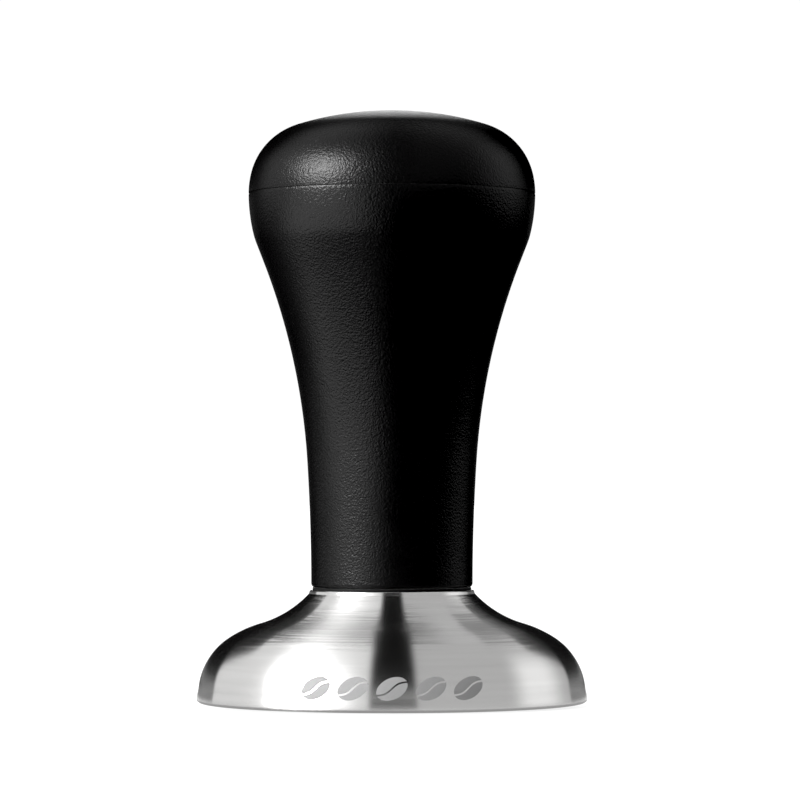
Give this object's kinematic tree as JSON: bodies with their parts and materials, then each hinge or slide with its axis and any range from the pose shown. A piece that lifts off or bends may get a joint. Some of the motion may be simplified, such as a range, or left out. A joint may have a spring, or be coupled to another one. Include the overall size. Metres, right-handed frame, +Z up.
{
  "type": "espresso tamper",
  "caption": "Espresso tamper with a turned steel base that screws onto the bolt of a hollow moulded mushroom-shaped handle.",
  "frame": {"origin": "centre of the flat tamping face", "axes": "+Z up the handle, along the axis the tamper is turned about; X and Y are free"},
  "size_m": [0.058, 0.058, 0.088],
  "materials": {
    "turned_steel": "fine turned and polished",
    "black_gasket": "matt",
    "black_moulding": "fine grain, satin",
    "zinc_steel": "bright zinc plated",
    "weight_steel": "as turned",
    "spring_steel": "dark phosphated"
  },
  "bodies": {
    "base": {"tamping_base": "turned_steel"},
    "gasket": {"base_gasket": "black_gasket"},
    "handle": {"handle_body": "black_moulding", "handle_cap": "black_moulding", "tie_bolt": "zinc_steel", "clamp_nut": "zinc_steel", "steel_weight": "weight_steel", "flat_washer": "zinc_steel", "spring_washer": "spring_steel"}
  },
  "joints": [
    {"name": "handle_rise", "type": "slide", "parent": "base", "child": "gasket", "axis": [0, 0, 1], "range_m": [0, 0.0101]},
    {"name": "handle_unscrew", "type": "hinge", "parent": "gasket", "child": "handle", "pos_m": [0, 0, 0.017], "axis": [0, 0, 1], "range_deg": [0, 2880]}
  ],
  "couplings": [
    {"joint": "handle_rise", "follows": "handle_unscrew", "m_per_rad": 0.00019894}
  ]
}
